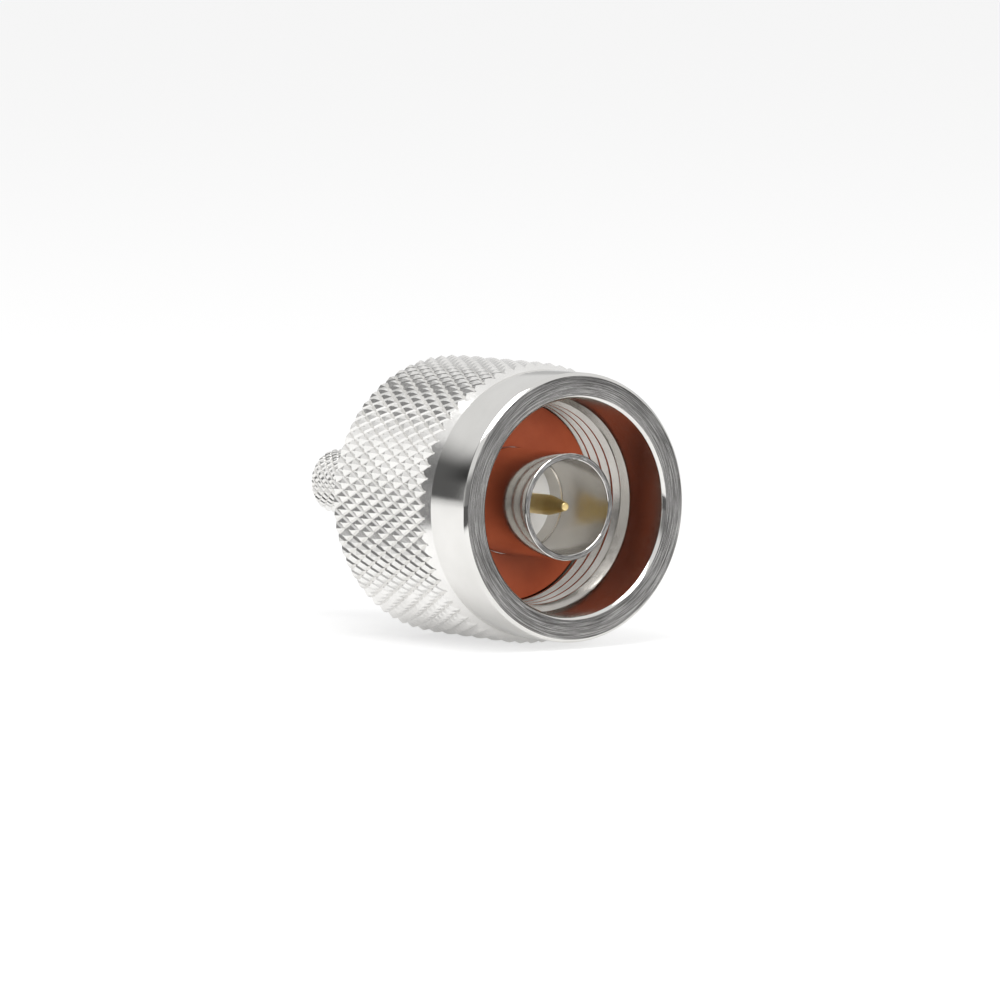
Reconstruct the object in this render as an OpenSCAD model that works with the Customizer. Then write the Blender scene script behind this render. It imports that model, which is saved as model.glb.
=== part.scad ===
// N type plug: a coaxial connector for cable, with a free-running coupling nut.
// It lies along Y with its open mouth towards -Y. All sizes are in millimetres.

/* [Coupling nut] */
// Length of the nut along its axis
nut_length = 16.4; // [12:0.1:24]
// Diameter of the smooth band at the mouth
band_diameter = 19.8; // [18:0.1:24]
// Width of the smooth band
band_width = 4.35; // [2:0.05:7]
// Diameter over the tips of the knurl
knurl_diameter = 20.8; // [18.4:0.1:25]
// Depth of the knurl's grooves
knurl_depth = 0.3; // [0.15:0.01:0.6]
// Number of diamonds round the nut
knurl_count = 66; // [24:1:90]
// Number of half diamonds along the knurl
knurl_rows = 11; // [6:1:24]
// Length of the cone between the band and the knurl
knurl_cone = 1.1; // [0.2:0.05:1.5]
// Length of the bevel behind the knurl
knurl_rear_bevel = 0.2; // [0.1:0.05:1]
// Bevel on the band's front edge
edge_bevel = 0.25; // [0.1:0.05:0.6]
// Diameter of the smooth bore at the mouth
mouth_diameter = 16; // [15.9:0.05:16.5]
// Depth of the smooth bore at the mouth
mouth_depth = 4.25; // [2:0.1:5.5]
// Bevel on the mouth's inner edge
mouth_bevel = 0.22; // [0.1:0.05:0.6]
// Diameter over the crests of the inside thread
thread_minor_diameter = 14.9; // [14.6:0.05:15.1]
// Length of the thread's crests
thread_length = 3.8; // [2:0.1:5]
// Length of the cone that leads into the thread
lead_in_length = 0.55; // [0.3:0.05:1.2]
// Thickness of the rear wall that runs on the plug's body
rear_wall = 3; // [2.6:0.1:5]

/* [Running fit] */
// Radial clearance of the nut on its journal
journal_clearance = 0.05; // [0.02:0.01:0.09]
// Axial play of the nut on the body
axial_play = 0.2; // [0.1:0.05:0.5]
// Radial clearance of the nut round the flange
flange_clearance = 0.3; // [0.1:0.05:0.6]

/* [Outer contact] */
// Outside diameter of the contact sleeve
sleeve_diameter = 7.9; // [7.8:0.01:8.1]
// Bore of the contact sleeve
sleeve_bore = 7; // [6.9:0.01:7.1]
// Distance of the sleeve's tip behind the nut's face
sleeve_setback = 0.8; // [0:0.05:2.5]
// Rounding of the sleeve's tip
sleeve_tip_bevel = 0.1; // [0.05:0.01:0.2]
// Diameter of the hub that the gasket sits on
hub_diameter = 8.8; // [8.3:0.1:10]
// Height of the hub above the gasket's face
hub_proud = 0.15; // [0.05:0.05:0.5]
// Thickness of the flange
flange_thickness = 3.3; // [2:0.1:4.5]
// Diameter of the journal that carries the nut
journal_diameter = 12; // [11:0.1:13]
// Length that the journal stands out behind the nut
journal_proud = 0.2; // [0.1:0.05:1]

/* [Retaining ring] */
// Diameter of the groove's floor in the journal
ring_groove_diameter = 10.8; // [10.4:0.1:11.6]
// Width of the ring
ring_width = 0.9; // [0.6:0.1:1.4]
// Outside diameter of the ring
ring_diameter = 13.1; // [12.6:0.1:13.8]
// Opening between the ring's ends
ring_opening = 2; // [1:0.1:5]
// Clearance round the ring in the nut's groove
ring_clearance = 0.2; // [0.1:0.05:0.4]

/* [Gasket] */
// Distance of the gasket's face behind the nut's face
gasket_setback = 8.35; // [7:0.05:9]
// Thickness of the gasket
gasket_thickness = 1.55; // [1:0.05:2.5]
// Radial clearance of the gasket and its flange inside the thread
gasket_clearance = 0.15; // [0.1:0.05:0.5]
// Rounding of the gasket's front edges
gasket_rounding = 0.15; // [0.05:0.05:0.4]

/* [Rear body] */
// Diameter of the plug-in spigot
spigot_diameter = 9.2; // [8.6:0.1:9.8]
// Length of the plug-in spigot
spigot_length = 4.4; // [3:0.1:6]
// Diameter of the collar behind the nut
collar_diameter = 10.4; // [9:0.1:11]
// Length of the collar, with its rear cone
collar_length = 6; // [4:0.1:8]
// Length of the collar's rear cone
collar_cone = 0.6; // [0.2:0.1:2]
// Diameter of the bare neck before the stem's knurl
neck_diameter = 4.3; // [4:0.1:4.6]
// Length of the bare neck
neck_length = 0.6; // [0.3:0.1:2]

/* [Cable stem] */
// Diameter over the tips of the stem's knurl
stem_diameter = 4.9; // [4.6:0.1:5.6]
// Depth of the stem's knurl
stem_knurl_depth = 0.2; // [0.1:0.02:0.3]
// Number of diamonds round the stem
stem_knurl_count = 18; // [12:1:30]
// Number of half diamonds along the stem
stem_knurl_rows = 16; // [8:2:24]
// Length of the bevel at each end of the stem's knurl
stem_cone = 0.3; // [0.1:0.05:1]
// Length of the knurled stem
stem_length = 7.8; // [4:0.1:12]
// Bore of the stem
stem_bore = 3.1; // [2.6:0.05:3.4]

/* [Insulators] */
// Depth of the front insulator's face inside the sleeve
insulator_depth = 7.15; // [5:0.05:8]
// Depth of the rear insulator's seat behind the spigot's front
rear_seat_depth = 8.9; // [6:0.1:9.5]

/* [Centre contact] */
// Diameter of the pin
pin_diameter = 1.5; // [1.4:0.01:1.7]
// Distance of the pin's tip behind the sleeve's tip
pin_setback = 0.45; // [0:0.05:1]
// Length of the pin's tapered point
pin_point = 2; // [0.4:0.05:2.5]
// Diameter of the pin's flat tip
pin_tip_diameter = 0.6; // [0.4:0.05:1]
// Diameter of the pin's body inside the insulators
pin_body_diameter = 2.3; // [2:0.1:3]
// Height of the pin's body above the front insulator's face
pin_body_proud = 0.1; // [0.05:0.05:0.5]
// Bore for the cable's centre wire
wire_bore = 1; // [0.8:0.05:1.4]
// Depth of the bore for the wire
wire_bore_depth = 4; // [3:0.1:5]

/* [Hidden] */
$fn = 96;
eps = 0.01;
gasket_diameter = thread_minor_diameter - 2 * gasket_clearance;
flange_diameter = gasket_diameter;
flange_setback = gasket_setback + gasket_thickness;
journal_setback = flange_setback + flange_thickness;
lip_setback = nut_length - rear_wall;
journal_end = nut_length + journal_proud;
spigot_setback = journal_end - spigot_length;
collar_end = journal_end + collar_length;
knurled_stem_setback = collar_end + neck_length;
overall_length = knurled_stem_setback + stem_length;
pin_tip = sleeve_setback + pin_setback;
insulator_setback = sleeve_setback + insulator_depth;
rear_seat = spigot_setback + rear_seat_depth;
hub_setback = gasket_setback - hub_proud;
pin_shoulder = insulator_setback - pin_body_proud;
ring_setback = lip_setback + (rear_wall - ring_width) / 2;
ring_groove_width = ring_width;
thread_end = mouth_depth + lead_in_length + thread_length;
lip_bore = journal_diameter + 2 * journal_clearance;
relief_bore = flange_diameter + 2 * flange_clearance;
ring_room = ring_diameter + 2 * ring_clearance;
axis_height = knurl_diameter / 2;
nickel = [0.84, 0.83, 0.81];
steel = [0.7, 0.7, 0.72];
silicone = [0.62, 0.27, 0.18];
ptfe = [0.9, 0.9, 0.88];
gold = [0.85, 0.66, 0.32];

// Lays a piece along Y: a height above zero becomes a distance behind the nut's face.
module lay_down() {
    translate([0, -overall_length / 2, axis_height]) rotate([-90, 0, 0]) children();
}

// A solid of revolution from pairs of radius and distance behind the face.
module turned(profile) {
    rotate_extrude() polygon(profile);
}

// A true cylinder between two distances behind the face.
module bore(diameter, from, to) {
    translate([0, 0, from]) cylinder(h = to - from, d = diameter);
}

// Raised diamonds on a cylinder. In the patterned rows every second point is a
// tip, and the others are where two grooves cross. A plain ring closes each end.
function knurl_radius(tip, depth, ring, column, row, rows) =
    row == 0 || row == rows + 2 ? ring : (column + row) % 2 == 1 ? tip - depth : tip;

function knurl_height(row, rows, cone, rear, length) =
    row == 0 ? 0 : row == rows + 2 ? length : cone + (row - 1) * (length - cone - rear) / rows;

function knurl_points(tip, depth, ring, rear_ring, count, rows, cone, rear, length) = [
    for (row = [0 : rows + 2], column = [0 : 2 * count - 1])
        let (
            ends = row == 0 ? ring : rear_ring,
            r = knurl_radius(tip, depth, ends, column, row, rows),
            a = 180 * column / count
        )
            [r * cos(a), r * sin(a), knurl_height(row, rows, cone, rear, length)]
];

function knurl_sides(count, rows) = [
    for (row = [0 : rows + 1], column = [0 : 2 * count - 1])
        let (
            n = 2 * count,
            a = row * n + column,
            b = row * n + (column + 1) % n,
            c = a + n,
            d = b + n
        )
            for (face = (column + row) % 2 == 0 ? [[a, c, b], [b, c, d]] : [[a, c, d], [a, d, b]]) face
];

module diamond_knurl(diameter, depth, ring_diameter, count, rows, cone, rear, length) {
    points = knurl_points(diameter / 2, depth, ring_diameter / 2, diameter / 2 - depth - eps,
        count, rows, cone, rear, length);
    n = 2 * count;
    base = len(points);
    last = (rows + 2) * n;
    ends = [
        for (i = [0 : n - 1])
            for (face = [
                [base, i, (i + 1) % n],
                [base + 1, last + (i + 1) % n, last + i]
            ]) face
    ];
    polyhedron(points = concat(points, [[0, 0, 0], [0, 0, length]]),
        faces = concat(knurl_sides(count, rows), ends), convexity = 4);
}

module coupling_nut() {
    r_band = band_diameter / 2;
    color(nickel) lay_down() difference() {
        union() {
            turned([
                [0, 0], [r_band - edge_bevel, 0], [r_band, edge_bevel], [r_band, band_width],
                [r_band - knurl_depth, band_width + knurl_depth], [0, band_width + knurl_depth]
            ]);
            translate([0, 0, band_width])
                diamond_knurl(knurl_diameter, knurl_depth, band_diameter - 2 * eps, knurl_count,
                    knurl_rows, knurl_cone, knurl_rear_bevel, nut_length - band_width);
        }
        turned([
            [0, -1], [mouth_diameter / 2 + mouth_bevel, -1], [mouth_diameter / 2 + mouth_bevel, 0],
            [mouth_diameter / 2, mouth_bevel], [mouth_diameter / 2, mouth_depth],
            [thread_minor_diameter / 2, mouth_depth + lead_in_length],
            [thread_minor_diameter / 2, thread_end], [0, thread_end]
        ]);
        bore(relief_bore, thread_end - eps, lip_setback);
        bore(lip_bore, lip_setback - eps, nut_length + 1);
        bore(ring_room, ring_setback - axial_play, ring_setback + ring_width + axial_play);
    }
}

module retaining_ring() {
    color(steel) lay_down() difference() {
        bore(ring_diameter, ring_setback, ring_setback + ring_width);
        bore(ring_groove_diameter, ring_setback - 1, ring_setback + ring_width + 1);
        translate([-ring_opening / 2, -ring_diameter, ring_setback - 1])
            cube([ring_opening, ring_diameter, ring_width + 2]);
    }
}

module gasket() {
    r_in = hub_diameter / 2;
    r_out = gasket_diameter / 2;
    g = gasket_rounding;
    color(silicone) lay_down() turned([
        [r_in, gasket_setback + g], [r_in + g, gasket_setback], [r_out - g, gasket_setback],
        [r_out, gasket_setback + g], [r_out, flange_setback], [r_in, flange_setback]
    ]);
}

module outer_contact() {
    r_in = sleeve_bore / 2;
    r_out = sleeve_diameter / 2;
    b = sleeve_tip_bevel;
    color(nickel) lay_down() difference() {
        turned([
            [r_in + b, sleeve_setback], [r_out - b, sleeve_setback], [r_out, sleeve_setback + b],
            [r_out, hub_setback], [hub_diameter / 2, hub_setback],
            [hub_diameter / 2, flange_setback], [flange_diameter / 2, flange_setback],
            [flange_diameter / 2, journal_setback], [journal_diameter / 2, journal_setback],
            [journal_diameter / 2, journal_end], [spigot_diameter / 2, journal_end],
            [spigot_diameter / 2, spigot_setback], [r_in, spigot_setback], [r_in, sleeve_setback + b]
        ]);
        difference() {
            bore(journal_diameter + 1, ring_setback, ring_setback + ring_groove_width);
            bore(ring_groove_diameter, ring_setback - 1, ring_setback + ring_groove_width + 1);
        }
    }
}

module rear_body() {
    r_spigot = spigot_diameter / 2;
    r_collar = collar_diameter / 2;
    r_neck = neck_diameter / 2;
    color(nickel) lay_down() difference() {
        union() {
            turned([
                [0, spigot_setback], [r_spigot, spigot_setback], [r_spigot, journal_end],
                [r_collar, journal_end], [r_collar, collar_end - collar_cone],
                [r_collar - collar_cone, collar_end], [r_neck, collar_end],
                [r_neck, knurled_stem_setback + 0.5], [0, knurled_stem_setback + 0.5]
            ]);
            translate([0, 0, knurled_stem_setback])
                diamond_knurl(stem_diameter, stem_knurl_depth, stem_diameter - 2 * stem_knurl_depth,
                    stem_knurl_count, stem_knurl_rows, stem_cone, stem_cone, stem_length);
        }
        bore(sleeve_bore, spigot_setback - 1, rear_seat);
        bore(stem_bore, rear_seat - 1, overall_length + 1);
    }
}

module front_insulator() {
    color(ptfe) lay_down() difference() {
        bore(sleeve_bore, insulator_setback, spigot_setback);
        bore(pin_body_diameter, insulator_setback - 1, spigot_setback + 1);
    }
}

module rear_insulator() {
    color(ptfe) lay_down() difference() {
        bore(sleeve_bore, spigot_setback, rear_seat);
        bore(pin_body_diameter, spigot_setback - 1, rear_seat + 1);
    }
}

module centre_pin() {
    r = pin_diameter / 2;
    r_body = pin_body_diameter / 2;
    color(gold) lay_down() difference() {
        turned([
            [0, pin_tip], [pin_tip_diameter / 2, pin_tip], [r, pin_tip + pin_point],
            [r, pin_shoulder], [r_body, pin_shoulder], [r_body, rear_seat], [0, rear_seat]
        ]);
        bore(wire_bore, rear_seat - wire_bore_depth, rear_seat + 1);
    }
}

coupling_nut();
retaining_ring();
gasket();
outer_contact();
rear_body();
front_insulator();
rear_insulator();
centre_pin();
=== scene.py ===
import math
import random

import bmesh
import bpy
from mathutils import Matrix, Vector


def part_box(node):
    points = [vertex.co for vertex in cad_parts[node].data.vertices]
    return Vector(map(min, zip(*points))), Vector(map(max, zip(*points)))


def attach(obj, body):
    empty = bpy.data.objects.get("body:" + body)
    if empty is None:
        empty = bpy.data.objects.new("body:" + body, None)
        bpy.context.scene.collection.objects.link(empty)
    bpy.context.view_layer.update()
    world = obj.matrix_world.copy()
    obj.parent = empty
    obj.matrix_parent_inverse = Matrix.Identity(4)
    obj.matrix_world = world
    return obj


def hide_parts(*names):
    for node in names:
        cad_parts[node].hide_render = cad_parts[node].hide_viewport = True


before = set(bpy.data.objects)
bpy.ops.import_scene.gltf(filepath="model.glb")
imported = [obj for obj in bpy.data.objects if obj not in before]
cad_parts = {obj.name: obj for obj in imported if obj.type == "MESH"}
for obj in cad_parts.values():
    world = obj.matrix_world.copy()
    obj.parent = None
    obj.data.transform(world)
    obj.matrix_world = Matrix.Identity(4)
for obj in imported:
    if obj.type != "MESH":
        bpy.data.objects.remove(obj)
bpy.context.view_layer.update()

# The plug lies along Y, its mouth towards -Y. A piece is drawn in millimetres with
# x across, y the distance behind the nut's face and z up from the plug's axis.
nutLow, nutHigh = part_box("coupling_nut")
faceY = nutLow[1]
axisHeight = (nutLow[2] + nutHigh[2]) / 2
millimetre = 0.001
weldGap, fineGap, cutGap = 1e-3, 1e-4, 1e-5
sharpAngle = math.radians(12)


# modelling

def onlyVerts(geom):
    return [item for item in geom if isinstance(item, bmesh.types.BMVert)]


def onlyEdges(geom):
    return [item for item in geom if item.is_valid and isinstance(item, bmesh.types.BMEdge)]


def turnProfile(bm, profile, steps):
    # (radius, depth) pairs turned about the plug's axis
    verts = [bm.verts.new((0, depth, radius)) for radius, depth in profile]
    edges = [bm.edges.new(pair) for pair in zip(verts, verts[1:] + verts[:1])]
    bmesh.ops.spin(bm, geom=verts + edges, cent=(0, 0, 0), axis=(0, 1, 0), angle=math.tau,
                   steps=steps, use_merge=True)


def softenRims(bm, rims):
    # rounds the circular edges at (radius, depth) by a width
    for radius, depth, width in rims:
        edges = [edge for edge in bm.edges if all(
            abs(vert.co.y - depth) < weldGap
            and abs(math.hypot(vert.co.x, vert.co.z) - radius) < weldGap
            for vert in edge.verts)]
        if edges:
            bmesh.ops.bevel(bm, geom=edges, offset=width, offset_type="OFFSET", segments=3,
                            profile=0.5, affect="EDGES", material=-1)


def rollUp(bm, radius):
    # an unrolled sheet (arc length, depth, height) becomes a ring about the axis
    for vert in bm.verts:
        arc, depth, height = vert.co
        angle = arc / radius
        vert.co = (height * math.sin(angle), depth, height * math.cos(angle))
    bmesh.ops.remove_doubles(bm, verts=bm.verts, dist=weldGap)


def pullLoop(bm, edges, moves):
    # extrudes open edges to a new depth and height, once for each move
    for depth, height in moves:
        made = bmesh.ops.extrude_edge_only(bm, edges=edges)["geom"]
        edges = onlyEdges(made)
        for vert in onlyVerts(made):
            vert.co.y, vert.co.z = depth, height
    return edges


def cutAway(bm, point, normal):
    # removes what lies beyond a plane and gives the edges of the cut
    cut = bmesh.ops.bisect_plane(bm, geom=bm.verts[:] + bm.edges[:] + bm.faces[:], dist=cutGap,
                                 plane_co=point, plane_no=normal, clear_outer=True)
    return onlyEdges(cut["geom_cut"])


def repeat(bm, geom, step, count):
    result = list(geom)
    for number in range(1, count):
        copy = bmesh.ops.duplicate(bm, geom=geom)["geom"]
        bmesh.ops.translate(bm, vec=Vector(step) * number, verts=onlyVerts(copy))
        result += copy
    return result


def paintFaces(bm, index, chosen):
    # chosen judges a face by its distance from the axis and its depth
    for face in bm.faces:
        centre = face.calc_center_median()
        if chosen(math.hypot(centre.x, centre.z), centre.y):
            face.material_index = index


def joinInto(bm, other, index):
    for face in other.faces:
        face.material_index = index
    mesh = bpy.data.meshes.new("part")
    other.to_mesh(mesh)
    other.free()
    bm.from_mesh(mesh)
    bpy.data.meshes.remove(mesh)


def finishPiece(name, bm, materials, node, body):
    bmesh.ops.remove_doubles(bm, verts=bm.verts, dist=fineGap)
    bmesh.ops.dissolve_degenerate(bm, edges=bm.edges, dist=fineGap)
    bmesh.ops.recalc_face_normals(bm, faces=bm.faces)
    for face in bm.faces:
        face.smooth = True
    for edge in bm.edges:
        edge.smooth = len(edge.link_faces) == 2 and edge.calc_face_angle(0) < sharpAngle
    bmesh.ops.scale(bm, vec=(millimetre, millimetre, millimetre), verts=bm.verts)
    bmesh.ops.translate(bm, vec=(0, faceY, axisHeight), verts=bm.verts)
    mesh = bpy.data.meshes.new(name)
    bm.to_mesh(mesh)
    bm.free()
    piece = bpy.data.objects.new(name, mesh)
    bpy.context.scene.collection.objects.link(piece)
    for material in materials:
        mesh.materials.append(material)
    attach(piece, body)
    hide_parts(node)
    print(name, len(mesh.polygons), "faces")


jitter = {"size": 0.003, "above": 0.02, "outward": 0.3}


def knurlRing(knurl):
    # One raised diamond is made by insets and paired with its neighbour half a step
    # on. The pair is repeated over an unrolled sheet and worn unevenly. The sheet's
    # ends are planed off along cones and closed before it is rolled up.
    across = math.tau * knurl["tip"] / knurl["count"]
    along = knurl["pitch"]
    root = knurl["tip"] - sum(depth for _, depth in knurl["insets"])
    bm = bmesh.new()
    top = bm.faces.new([bm.verts.new(point) for point in (
        (across / 2, 0, root), (0, along / 2, root),
        (-across / 2, 0, root), (0, -along / 2, root))])
    for width, depth in knurl["insets"]:
        bmesh.ops.inset_individual(bm, faces=[top], thickness=width, depth=depth,
                                   use_even_offset=True)
    diamond = bm.verts[:] + bm.edges[:] + bm.faces[:]
    pair = repeat(bm, diamond, (across / 2, along / 2, 0), 2)
    rows = repeat(bm, pair, (0, along, 0), knurl["rows"])
    repeat(bm, rows, (across, 0, 0), knurl["count"])
    shift = math.radians(knurl["turn"]) * knurl["tip"]
    bmesh.ops.translate(bm, vec=(shift, knurl["firstRow"], 0), verts=bm.verts)

    draw = random.Random(knurl["seed"])
    for vert in bm.verts:
        if vert.co.z > root + jitter["above"]:
            vert.co += jitter["size"] * Vector((
                draw.uniform(-1, 1), draw.uniform(-1, 1), draw.uniform(-1, jitter["outward"])))
    bmesh.ops.remove_doubles(bm, verts=bm.verts, dist=weldGap)

    frontEdges = cutAway(bm, (0, *knurl["front"]), (0, -knurl["frontSlope"], 1))
    rearEdges = cutAway(bm, (0, *knurl["rear"]), (0, knurl["rearSlope"], 1))
    inner = []
    for edges, (depth, radius) in ((frontEdges, knurl["front"]), (rearEdges, knurl["rear"])):
        inner += pullLoop(bm, onlyEdges(edges), [(depth, radius), (depth, knurl["inside"])])
    bmesh.ops.bridge_loops(bm, edges=onlyEdges(inner))
    rollUp(bm, knurl["tip"])
    return bm


# finishes

def feed(tree, socket, value):
    # links another node's output, or sets a plain value
    if isinstance(value, bpy.types.NodeSocket):
        tree.links.new(value, socket)
    else:
        socket.default_value = value


def addMath(tree, operation, first, second):
    node = tree.nodes.new("ShaderNodeMath")
    node.operation = operation
    feed(tree, node.inputs[0], first)
    feed(tree, node.inputs[1], second)
    return node.outputs["Value"]


def addVectorMath(tree, operation, first, second=None):
    node = tree.nodes.new("ShaderNodeVectorMath")
    node.operation = operation
    feed(tree, node.inputs[0], first)
    if second is not None:
        feed(tree, node.inputs[1], second)
    return node.outputs["Value" if operation in ("LENGTH", "DOT_PRODUCT") else "Vector"]


def addRange(tree, value, start, end, low=0, high=1, ease="LINEAR"):
    # start to end becomes low to high, and stays level beyond them
    node = tree.nodes.new("ShaderNodeMapRange")
    node.interpolation_type = ease
    for name, number in (("From Min", start), ("From Max", end),
                         ("To Min", low), ("To Max", high)):
        node.inputs[name].default_value = number
    feed(tree, node.inputs["Value"], value)
    return node.outputs["Result"]


def addNoise(tree, vector, scale, detail, roughness=0.5):
    node = tree.nodes.new("ShaderNodeTexNoise")
    for name, value in (("Vector", vector), ("Scale", scale), ("Detail", detail),
                        ("Roughness", roughness)):
        feed(tree, node.inputs[name], value)
    return node.outputs["Fac"]


def addTint(tree, shader, factor, colours):
    ramp = tree.nodes.new("ShaderNodeValToRGB")
    stops = ramp.color_ramp.elements
    for number in (0, -1):
        position, colour = colours[number]
        stops[number].position, stops[number].color = position, (*colour, 1)
    for position, colour in colours[1:-1]:
        stops.new(position).color = (*colour, 1)
    feed(tree, ramp.inputs["Fac"], factor)
    feed(tree, shader.inputs["Base Color"], ramp.outputs["Color"])


# a noise stays almost wholly between these
noiseSpan = (0.3, 0.7)


def addSurface(tree, shader, pattern, roughness, depth):
    # one pattern gives the roughness and the fine relief
    feed(tree, shader.inputs["Roughness"], addRange(tree, pattern, *noiseSpan, *roughness))
    bump = tree.nodes.new("ShaderNodeBump")
    for name, value in (("Strength", 1.0), ("Distance", depth), ("Height", pattern)):
        feed(tree, bump.inputs[name], value)
    feed(tree, shader.inputs["Normal"], bump.outputs["Normal"])


def newMaterial(name, metal):
    material = bpy.data.materials.new(name)
    material.use_nodes = True
    tree = material.node_tree
    shader = tree.nodes["Principled BSDF"]
    shader.inputs["Metallic"].default_value = metal
    return material, tree, shader, tree.nodes.new("ShaderNodeTexCoord").outputs["Object"]


def grainedMaterial(name, look):
    # clouds of two colours under a fine grain
    material, tree, shader, coords = newMaterial(name, look["metal"])
    shader.inputs["Specular IOR Level"].default_value = look["specular"]
    cloud = addNoise(tree, coords, look["cloudScale"], look["cloudDetail"])
    start, end = look["cloudSpan"]
    addTint(tree, shader, cloud, [(start, look["dark"]), (end, look["light"])])
    grain = addNoise(tree, coords, look["grainScale"], look["grainDetail"])
    addSurface(tree, shader, grain, look["roughness"], look["grainDepth"])
    return material


def turnedMaterial(name, look):
    # arcs left by a tool about the plug's axis, in the mesh's own polar coordinates, tinted down
    # to near black as a painted dark reflection
    material, tree, shader, coords = newMaterial(name, look["metal"])
    centre = tree.nodes.new("ShaderNodeMapping")
    feed(tree, centre.inputs["Location"], (0, 0, -axisHeight))
    feed(tree, centre.inputs["Vector"], coords)
    flat = addVectorMath(tree, "MULTIPLY", centre.outputs["Vector"], (1, 0, 1))
    around = addVectorMath(tree, "MULTIPLY", addVectorMath(tree, "NORMALIZE", flat),
                           (look["arcScale"], 0, look["arcScale"]))
    outward = tree.nodes.new("ShaderNodeCombineXYZ")
    feed(tree, outward.inputs["Y"],
         addMath(tree, "MULTIPLY", addVectorMath(tree, "LENGTH", flat), look["ringScale"]))
    polar = addVectorMath(tree, "ADD", around, outward.outputs["Vector"])
    arcs = addNoise(tree, polar, 1.0, look["arcDetail"], look["arcRoughness"])
    addTint(tree, shader, arcs, look["paintedShadeTints"])
    addSurface(tree, shader, arcs, look["roughness"], look["ringDepth"])
    return material


metalLook = {"metal": 1.0, "specular": 0.5, "cloudDetail": 3, "cloudSpan": (0.35, 0.7),
             "grainDetail": 5}
softLook = {"metal": 0.0, "cloudDetail": 4, "cloudSpan": (0.3, 0.7), "grainDetail": 5}
plateLook = {**metalLook, "dark": (0.79, 0.78, 0.755), "light": (0.85, 0.84, 0.815),
             "cloudScale": 260, "grainScale": 5200, "grainDepth": 0.0000008,
             "roughness": (0.05, 0.1)}
springLook = {**plateLook, "roughness": (0.25, 0.35)}
knurlLook = {**metalLook, "metal": 0.9, "dark": (0.87, 0.86, 0.84), "light": (0.95, 0.94, 0.92),
             "cloudScale": 400, "grainScale": 3600, "grainDepth": 0.0000035,
             "roughness": (0.12, 0.2)}
boreLook = {**metalLook, "dark": (0.51, 0.488, 0.455), "light": (0.60, 0.578, 0.545),
            "cloudScale": 300, "grainScale": 3000, "grainDepth": 0.0000005,
            "roughness": (0.2, 0.27)}
# the nut's face and the sleeve's tip: real turned arcs, but tinted down to near black as a
# painted dark reflection of the room
turnedFaceWithPaintedShade = {"metal": 1.0, "arcScale": 3, "ringScale": 32000, "ringDepth": 0.000005,
            "arcDetail": 5, "arcRoughness": 0.7, "roughness": (0.22, 0.4),
            "paintedShadeTints": [(0.38, (0.07, 0.068, 0.065)), (0.47, (0.19, 0.185, 0.18)),
                      (0.55, (0.36, 0.355, 0.35)), (0.64, (0.82, 0.81, 0.79))]}
goldLook = {**metalLook, "dark": (0.94, 0.70, 0.31), "light": (1.0, 0.82, 0.42),
            "cloudScale": 500, "grainScale": 6000, "grainDepth": 0.000001,
            "roughness": (0.3, 0.4)}
siliconeLook = {**softLook, "dark": (0.32, 0.066, 0.028), "light": (0.39, 0.088, 0.037),
                "cloudScale": 500, "grainScale": 5000, "grainDepth": 0.000004,
                "roughness": (0.45, 0.6), "specular": 0.35}
insulatorLook = {**softLook, "dark": (0.72, 0.71, 0.68), "light": (0.82, 0.81, 0.79),
                 "cloudScale": 500, "grainScale": 4000, "grainDepth": 0.000002,
                 "roughness": (0.4, 0.5), "specular": 0.3}

nickel = grainedMaterial("nickelPlate", plateLook)
knurledNickel = grainedMaterial("knurledNickel", knurlLook)
turnedNickelWithPaintedShade = turnedMaterial("turnedNickelWithPaintedShade", turnedFaceWithPaintedShade)
boredNickel = grainedMaterial("boredNickel", boreLook)
silicone = grainedMaterial("redSilicone", siliconeLook)
insulation = grainedMaterial("whiteInsulation", insulatorLook)
gold = grainedMaterial("goldPlate", goldLook)
springMetal = grainedMaterial("springMetal", springLook)
print("finishes made")


# coupling nut

knurl = {"tip": 10.4, "count": 66, "pitch": 1.902, "rows": 9, "firstRow": 2.998, "turn": 1.886,
         "insets": [(0.006, 0.0), (0.135, 0.14), (0.26, 0.14), (0.02, 0.004)], "seed": 5,
         "front": (4.35, 9.9), "frontSlope": 0.55, "rear": (16.4, 10.05), "rearSlope": 1.4,
         "inside": 9.3}
# 24 turns to the inch
thread = {"pitch": 25.4 / 24, "crest": 7.45, "root": 7.97, "crestWidth": 0.2,
          "rootWidth": 0.14, "coneDepth": 4.25, "coneRadius": 8.0, "coneSlope": 1.0,
          "end": 8.6, "outside": 8.65, "spareTurns": 2, "cuts": 3, "steps": 192}
nut = {"length": 16.4, "bandRadius": 9.9, "bandWidth": 4.35, "edge": 0.25, "mouthRadius": 8.0,
       "mouthBevel": 0.22, "mouthDepth": 4.25, "threadEnd": 8.6, "threadSeat": 8.6,
       "reliefRadius": 7.6, "lipDepth": 13.4, "lipRadius": 6.05, "lipBevel": 0.15,
       "knurlSeat": 9.35, "faceRound": 0.04, "edgeRound": 0.05, "faceEnd": 0.01,
       "boreStart": 0.4, "steps": 256}


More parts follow.
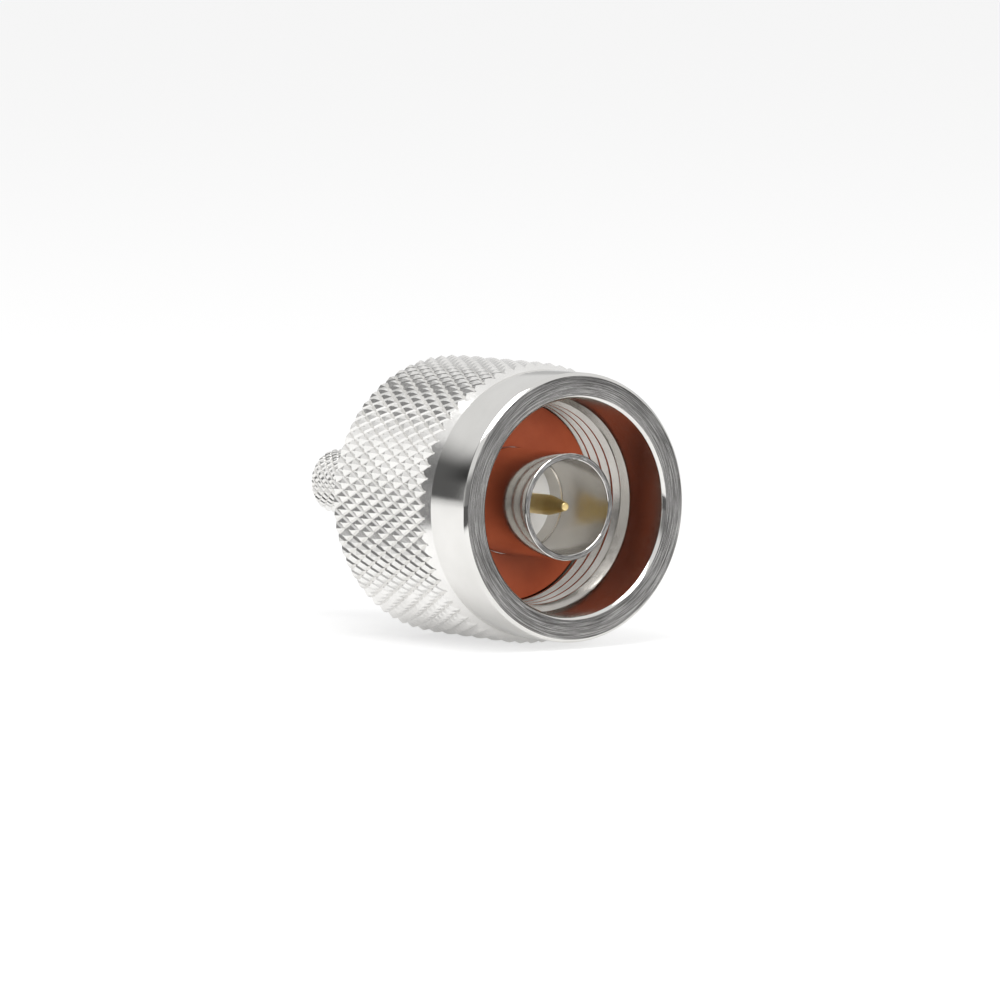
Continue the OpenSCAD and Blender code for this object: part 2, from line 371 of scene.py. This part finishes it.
def threadRing(thread):
    # The thread's section is drawn once and pushed along the unrolled helix. What
    # stands inside the lead-in cone is pressed out to it, then the ends are cut.
    pitch, crestWidth, rootWidth = thread["pitch"], thread["crestWidth"], thread["rootWidth"]
    coneDepth, end = thread["coneDepth"], thread["end"]
    flank = (pitch - crestWidth - rootWidth) / 2
    bm = bmesh.new()
    points = []
    turns = math.ceil((end - coneDepth) / pitch) + thread["spareTurns"] + 1
    start = coneDepth - thread["spareTurns"] * pitch
    for number in range(turns):
        base = start + number * pitch
        slope = base + crestWidth
        points += [(base, thread["crest"]), (slope, thread["crest"]),
                   (slope + flank, thread["root"]), (slope + flank + rootWidth, thread["root"])]
    verts = [bm.verts.new((0, depth, radius)) for depth, radius in points]
    edges = [bm.edges.new(pair) for pair in zip(verts, verts[1:])]
    bmesh.ops.subdivide_edges(bm, edges=edges, cuts=thread["cuts"])
    edges = bm.edges[:]
    step = Vector((math.tau * thread["root"], pitch, 0)) / thread["steps"]
    for _ in range(thread["steps"]):
        made = bmesh.ops.extrude_edge_only(bm, edges=edges)["geom"]
        edges = onlyEdges(made)
        bmesh.ops.translate(bm, vec=step, verts=onlyVerts(made))
    for vert in bm.verts:
        cone = thread["coneRadius"] - thread["coneSlope"] * (vert.co.y - coneDepth)
        vert.co.z = max(vert.co.z, cone)
    front = cutAway(bm, (0, coneDepth, 0), (0, -1, 0))
    back = cutAway(bm, (0, end, 0), (0, 1, 0))
    outer = pullLoop(bm, onlyEdges(front), [(coneDepth, thread["outside"])])
    outer += pullLoop(bm, back, [(end, thread["outside"])])
    bmesh.ops.bridge_loops(bm, edges=outer)
    rollUp(bm, thread["root"])
    return bm


def makeNut():
    bm = bmesh.new()
    band, mouth, lip = nut["bandRadius"], nut["mouthRadius"], nut["lipRadius"]
    edge, mouthBevel, lipBevel = nut["edge"], nut["mouthBevel"], nut["lipBevel"]
    turnProfile(bm, [
        (band - edge, 0), (band, edge), (band, nut["bandWidth"]),
        (nut["knurlSeat"], nut["bandWidth"]), (nut["knurlSeat"], nut["length"]),
        (lip + lipBevel, nut["length"]), (lip, nut["length"] - lipBevel),
        (lip, nut["lipDepth"]), (nut["reliefRadius"], nut["lipDepth"]),
        (nut["reliefRadius"], nut["threadEnd"]), (nut["threadSeat"], nut["threadEnd"]),
        (nut["threadSeat"], nut["mouthDepth"]), (mouth, nut["mouthDepth"]),
        (mouth, mouthBevel), (mouth + mouthBevel, 0)], nut["steps"])
    softenRims(bm, [(band - edge, 0, nut["faceRound"]), (band, edge, nut["edgeRound"]),
                    (mouth + mouthBevel, 0, nut["faceRound"]),
                    (mouth, mouthBevel, nut["edgeRound"])])
    paintFaces(bm, 3, lambda reach, depth: reach < nut["threadSeat"] and depth > nut["boreStart"])
    # the nut's face takes the turned finish, darkened as a painted dark reflection
    paintFaces(bm, 2, lambda reach, depth: reach > mouth and depth < nut["faceEnd"])
    joinInto(bm, knurlRing(knurl), 1)
    joinInto(bm, threadRing(thread), 3)
    finishPiece("couplingNut", bm, [nickel, knurledNickel, turnedNickelWithPaintedShade, boredNickel],
                "coupling_nut", "nut")


makeNut()
print("nut made")


# plug body

sleeve = {"tip": 0.8, "bore": 3.5, "radius": 3.95, "hubDepth": 8.5, "hubRadius": 3.96,
          "seatDepth": 6.5, "seatRadius": 3.41, "seatTaper": 0.08, "flangeDepth": 9.9,
          "flangeRadius": 7.3, "journalDepth": 13.2, "journalRadius": 6.0, "journalEnd": 16.6,
          "spigotRadius": 4.6, "spigotDepth": 12.2, "ringDepth": 14.45, "ringWidth": 0.9,
          "ringRadius": 5.4, "tipRound": 0.12, "journalRound": 0.08, "slack": 0.01,
          "boreStart": 0.2, "steps": 192}


def makeSleeve():
    bm = bmesh.new()
    tip, bore, radius, slack = sleeve["tip"], sleeve["bore"], sleeve["radius"], sleeve["slack"]
    hub, flange, journal = sleeve["hubRadius"], sleeve["flangeRadius"], sleeve["journalRadius"]
    spigot, ring, seat = sleeve["spigotRadius"], sleeve["ringRadius"], sleeve["seatRadius"]
    ringEnd = sleeve["ringDepth"] + sleeve["ringWidth"]
    boreStart = tip + sleeve["boreStart"]
    turnProfile(bm, [
        (bore, tip), (radius, tip), (radius, sleeve["hubDepth"]), (hub, sleeve["hubDepth"]),
        (hub, sleeve["flangeDepth"]), (flange, sleeve["flangeDepth"]),
        (flange, sleeve["journalDepth"]), (journal, sleeve["journalDepth"]),
        (journal, sleeve["ringDepth"]), (ring, sleeve["ringDepth"]), (ring, ringEnd),
        (journal, ringEnd), (journal, sleeve["journalEnd"]), (spigot, sleeve["journalEnd"]),
        (spigot, sleeve["spigotDepth"]), (seat, sleeve["spigotDepth"]),
        (seat, sleeve["seatDepth"] + sleeve["seatTaper"]), (bore, sleeve["seatDepth"])],
        sleeve["steps"])
    softenRims(bm, [(bore, tip, sleeve["tipRound"]), (radius, tip, sleeve["tipRound"]),
                    (journal, sleeve["journalEnd"], sleeve["journalRound"])])
    paintFaces(bm, 1, lambda reach, depth: reach < bore + slack and depth > boreStart)
    # the sleeve's tip takes the turned finish, darkened as a painted dark reflection
    paintFaces(bm, 2, lambda reach, depth: depth < tip + slack)
    finishPiece("contactSleeve", bm, [nickel, boredNickel, turnedNickelWithPaintedShade],
                "outer_contact", "plug")


ringSeal = {"depth": 8.35, "end": 9.9, "inner": 3.97, "outer": 7.43, "round": 0.06,
            "steps": 192}


def makeSeal():
    bm = bmesh.new()
    inner, outer = ringSeal["inner"], ringSeal["outer"]
    depth, end = ringSeal["depth"], ringSeal["end"]
    turnProfile(bm, [(inner, depth), (outer, depth), (outer, end), (inner, end)],
                ringSeal["steps"])
    softenRims(bm, [(inner, depth, ringSeal["round"]), (outer, depth, ringSeal["round"])])
    finishPiece("sealingRing", bm, [silicone], "gasket", "plug")


stemKnurl = {"tip": 2.45, "count": 22, "pitch": 0.92, "rows": 10, "firstRow": 22.9, "turn": 0.0,
             "insets": [(0.02, 0.0), (0.1, 0.13), (0.09, 0.035)], "seed": 8,
             "front": (23.2, 2.2), "frontSlope": 1.0, "rear": (31.0, 2.2), "rearSlope": 1.0,
             "inside": 2.05}
rear = {"start": 12.2, "spigotRadius": 4.6, "collarStart": 16.6, "collarRadius": 5.2,
        "collarEnd": 22.6, "cone": 0.6, "neckRadius": 2.15, "stemStart": 23.2, "stemEnd": 31.0,
        "bore": 1.55, "seatRadius": 3.5, "seatEnd": 21.1, "stemSeat": 2.1, "coneRound": 0.12,
        "rimRound": 0.08, "steps": 192}


def makeRearBody():
    bm = bmesh.new()
    seat, spigot, collar = rear["seatRadius"], rear["spigotRadius"], rear["collarRadius"]
    neck, stem, bore = rear["neckRadius"], rear["stemSeat"], rear["bore"]
    collarStart, collarEnd, cone = rear["collarStart"], rear["collarEnd"], rear["cone"]
    turnProfile(bm, [
        (seat, rear["start"]), (spigot, rear["start"]), (spigot, collarStart),
        (collar, collarStart), (collar, collarEnd - cone), (collar - cone, collarEnd),
        (neck, collarEnd), (neck, rear["stemStart"]), (stem, rear["stemStart"]),
        (stem, rear["stemEnd"]), (bore, rear["stemEnd"]), (bore, rear["seatEnd"]),
        (seat, rear["seatEnd"])], rear["steps"])
    softenRims(bm, [(collar, collarEnd - cone, rear["coneRound"]),
                    (collar - cone, collarEnd, rear["coneRound"]),
                    (collar, collarStart, rear["rimRound"]),
                    (bore, rear["stemEnd"], rear["rimRound"])])
    joinInto(bm, knurlRing(stemKnurl), 1)
    finishPiece("rearBody", bm, [nickel, knurledNickel], "rear_body", "plug")


insulators = {"radius": 3.5, "bore": 1.15, "round": 0.08, "steps": 128,
              "front": (7.95, 12.2), "rear": (12.2, 21.1)}


def makeInsulators():
    radius, bore = insulators["radius"], insulators["bore"]
    for name, node, (start, end) in (("frontInsulator", "front_insulator", insulators["front"]),
                                     ("rearInsulator", "rear_insulator", insulators["rear"])):
        bm = bmesh.new()
        turnProfile(bm, [(bore, start), (radius, start), (radius, end), (bore, end)],
                    insulators["steps"])
        softenRims(bm, [(radius, start, insulators["round"])])
        finishPiece(name, bm, [insulation], node, "plug")


pin = {"tip": 1.25, "tipRadius": 0.3, "point": 2.0, "radius": 0.75, "shoulder": 7.85,
       "bodyRadius": 1.15, "end": 21.1, "wireRadius": 0.5, "wireDepth": 4.0, "tipRound": 0.12,
       "pointRound": 0.3, "steps": 96}


def makePin():
    bm = bmesh.new()
    tip, tipRadius, radius = pin["tip"], pin["tipRadius"], pin["radius"]
    body, wire = pin["bodyRadius"], pin["wireRadius"]
    pointEnd, wireEnd = tip + pin["point"], pin["end"] - pin["wireDepth"]
    turnProfile(bm, [
        (0, tip), (tipRadius, tip), (radius, pointEnd), (radius, pin["shoulder"]),
        (body, pin["shoulder"]), (body, pin["end"]), (wire, pin["end"]), (wire, wireEnd),
        (0, wireEnd)], pin["steps"])
    softenRims(bm, [(tipRadius, tip, pin["tipRound"]), (radius, pointEnd, pin["pointRound"])])
    finishPiece("centrePin", bm, [gold], "centre_pin", "plug")


makeSleeve()
makeSeal()
makeRearBody()
makeInsulators()
makePin()
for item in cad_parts["retaining_ring"].material_slots:
    item.material = springMetal
print("plug body made")


# stage

# Only glossy rays see the floor dark where it lies to the left of darkX and in front of darkY,
# a painted dark reflection in the metal; elsewhere they see it pale.
floorLook = {"size": 40, "grey": 0.42, "glow": 0.62, "lit": 0.8, "paintedDarkReflection": 0.08,
             "mirroredPale": 0.9, "mirroredGlow": 0.4, "darkX": (-0.048, -0.036),
             "darkY": (-0.01, 0.0)}


def addShader(tree, kind, values):
    node = tree.nodes.new("ShaderNode" + kind)
    for name, value in values:
        feed(tree, node.inputs[name], value)
    return node.outputs[0]


def floorMaterial(look):
    material = bpy.data.materials.new("paleFloor")
    material.use_nodes = True
    tree = material.node_tree
    tree.nodes.clear()
    split = tree.nodes.new("ShaderNodeSeparateXYZ")
    feed(tree, split.inputs["Vector"], tree.nodes.new("ShaderNodeTexCoord").outputs["Object"])
    path = tree.nodes.new("ShaderNodeLightPath").outputs
    mirrored = path["Is Glossy Ray"]
    # the dark patch is seen only by glossy rays: a painted dark reflection, not a dark floor
    pale = addMath(tree, "MAXIMUM", addRange(tree, split.outputs["X"], *look["darkX"]),
                   addRange(tree, split.outputs["Y"], *look["darkY"]))
    tone = addRange(tree, pale, 0, 1, look["paintedDarkReflection"], look["mirroredPale"])
    colour = tree.nodes.new("ShaderNodeMix")
    for name, value in (("Factor", mirrored), ("A", look["lit"]), ("B", tone)):
        feed(tree, colour.inputs[name], value)
    plain = addShader(tree, "BsdfDiffuse", [("Color", colour.outputs["Result"])])
    grey = look["grey"]
    shown = addShader(tree, "AddShader", [
        (0, addShader(tree, "BsdfDiffuse", [("Color", (grey, grey, grey, 1))])),
        (1, addShader(tree, "Emission", [("Color", (1, 1, 1, 1)), ("Strength", look["glow"])]))])
    glowing = addMath(tree, "MULTIPLY", mirrored,
                      addMath(tree, "MULTIPLY", pale, look["mirroredGlow"]))
    seen = addMath(tree, "MAXIMUM", path["Is Camera Ray"], glowing)
    surface = addShader(tree, "MixShader", [("Fac", seen), (1, plain), (2, shown)])
    feed(tree, tree.nodes.new("ShaderNodeOutputMaterial").inputs["Surface"], surface)
    return material


def makeFloor(look):
    bm = bmesh.new()
    bmesh.ops.create_grid(bm, x_segments=1, y_segments=1, size=look["size"])
    mesh = bpy.data.meshes.new("floor")
    bm.to_mesh(mesh)
    bm.free()
    floor = bpy.data.objects.new("floor", mesh)
    bpy.context.scene.collection.objects.link(floor)
    mesh.materials.append(floorMaterial(look))


# An azimuth counts from +Y towards +X and a height is a sine. A panel is a dark
# screen that the metal mirrors, whole within inner and gone beyond outer.
room = {"horizon": 0.92, "top": 1.0, "topHeight": 0.9, "panels": [
    {"azimuth": -28, "inner": 13, "outer": 22, "low": (0.0, 0.06), "high": (0.3, 0.54),
     "dark": 0.86},
    {"azimuth": -74, "inner": 28, "outer": 40, "low": (0.17, 0.27), "high": (0.58, 0.74),
     "dark": 0.8},
    {"azimuth": -94, "inner": 10, "outer": 18, "low": (-0.3, -0.2), "high": (0.4, 0.56),
     "dark": 0.8},
    {"azimuth": -3, "inner": 8, "outer": 14, "low": (0.06, 0.12), "high": (0.24, 0.34),
     "dark": 0.7},
    {"azimuth": -150, "inner": 26, "outer": 44, "low": (-0.12, 0.0), "high": (0.2, 0.4),
     "dark": 0.7},
    {"azimuth": 138, "inner": 24, "outer": 40, "low": (-0.12, 0.0), "high": (0.15, 0.35),
     "dark": 0.75},
    {"azimuth": 30, "inner": 30, "outer": 50, "low": (0.1, 0.2), "high": (0.3, 0.4),
     "dark": 0.3}]}


def makeWorld(room):
    world = bpy.data.worlds.new("studio")
    bpy.context.scene.world = world
    world.use_nodes = True
    tree = world.node_tree
    tree.nodes.clear()

    def between(value, start, end, low, high):
        return addRange(tree, value, start, end, low, high, "SMOOTHSTEP")

    toward = tree.nodes.new("ShaderNodeTexCoord").outputs["Generated"]
    split = tree.nodes.new("ShaderNodeSeparateXYZ")
    feed(tree, split.inputs["Vector"], toward)
    height = split.outputs["Z"]
    level = addVectorMath(tree, "NORMALIZE", addVectorMath(tree, "MULTIPLY", toward, (1, 1, 0)))
    light = between(height, 0.0, room["topHeight"], room["horizon"], room["top"])
    for panel in room["panels"]:
        turn, inner, outer = (math.radians(panel[key]) for key in ("azimuth", "inner", "outer"))
        side = addVectorMath(tree, "DOT_PRODUCT", level, (math.sin(turn), math.cos(turn), 0))
        wide = between(side, math.cos(outer), math.cos(inner), 0, 1)
        tall = addMath(tree, "MULTIPLY", between(height, *panel["low"], 0, 1),
                       between(height, *panel["high"], 1, 0))
        cover = addMath(tree, "MULTIPLY", addMath(tree, "MULTIPLY", tall, wide), panel["dark"])
        light = addMath(tree, "MULTIPLY", light, addMath(tree, "SUBTRACT", 1.0, cover))
    studio = addShader(tree, "Background", [("Strength", light)])
    white = addShader(tree, "Background", [("Color", (1, 1, 1, 1)), ("Strength", 1.0)])
    cameraRay = tree.nodes.new("ShaderNodeLightPath").outputs["Is Camera Ray"]
    surface = addShader(tree, "MixShader", [("Fac", cameraRay), (1, studio), (2, white)])
    feed(tree, tree.nodes.new("ShaderNodeOutputWorld").inputs["Surface"], surface)


topLamp = {"name": "topLamp", "azimuth": -140, "elevation": 62, "distance": 0.8, "size": 0.5,
           "power": 3.0, "mirrored": True}
frontLamp = {"name": "frontLamp", "azimuth": -166, "elevation": 10, "distance": 0.6,
             "size": 0.2, "power": 2.1, "mirrored": False}


def makeLamp(lamp):
    data = bpy.data.lights.new(lamp["name"], "AREA")
    data.size = lamp["size"]
    data.energy = lamp["power"]
    item = bpy.data.objects.new(lamp["name"], data)
    turn, rise = math.radians(lamp["azimuth"]), math.radians(lamp["elevation"])
    toward = Vector((math.sin(turn) * math.cos(rise), math.cos(turn) * math.cos(rise),
                     math.sin(rise)))
    item.location = Vector((0, 0, axisHeight)) + toward * lamp["distance"]
    item.rotation_euler = toward.to_track_quat("Z", "Y").to_euler()
    item.visible_glossy = lamp["mirrored"]
    bpy.context.scene.collection.objects.link(item)


# the distance, the width seen at the nut's face and the offset are in millimetres
view = {"azimuth": -35.37, "elevation": 4.7, "distance": 600.0, "width": 73.046, "sensor": 36,
        "offset": (7.00511, -0.1534), "shift": (0.02, 0.01), "clip": (0.01, 20)}


def makeCamera(view):
    azimuth, height = math.radians(view["azimuth"]), math.radians(view["elevation"])
    back = Vector((math.sin(azimuth) * math.cos(height), -math.cos(azimuth) * math.cos(height),
                   math.sin(height)))
    right = Vector((math.cos(azimuth), math.sin(azimuth), 0))
    up = back.cross(right)
    data = bpy.data.cameras.new("camera")
    data.sensor_width = view["sensor"]
    data.lens = view["sensor"] * view["distance"] / view["width"]
    data.clip_start, data.clip_end = view["clip"]
    data.shift_x, data.shift_y = view["shift"]
    across, down = view["offset"]
    camera = bpy.data.objects.new("camera", data)
    camera.matrix_world = Matrix((right, up, back)).transposed().to_4x4()
    camera.location = Vector((0, faceY, axisHeight)) + millimetre * (
        back * view["distance"] - right * across + up * down)
    bpy.context.scene.collection.objects.link(camera)
    bpy.context.scene.camera = camera


makeFloor(floorLook)
makeWorld(room)
makeLamp(topLamp)
makeLamp(frontLamp)
makeCamera(view)
bpy.context.scene.view_settings.view_transform = "Standard"
print("stage made")
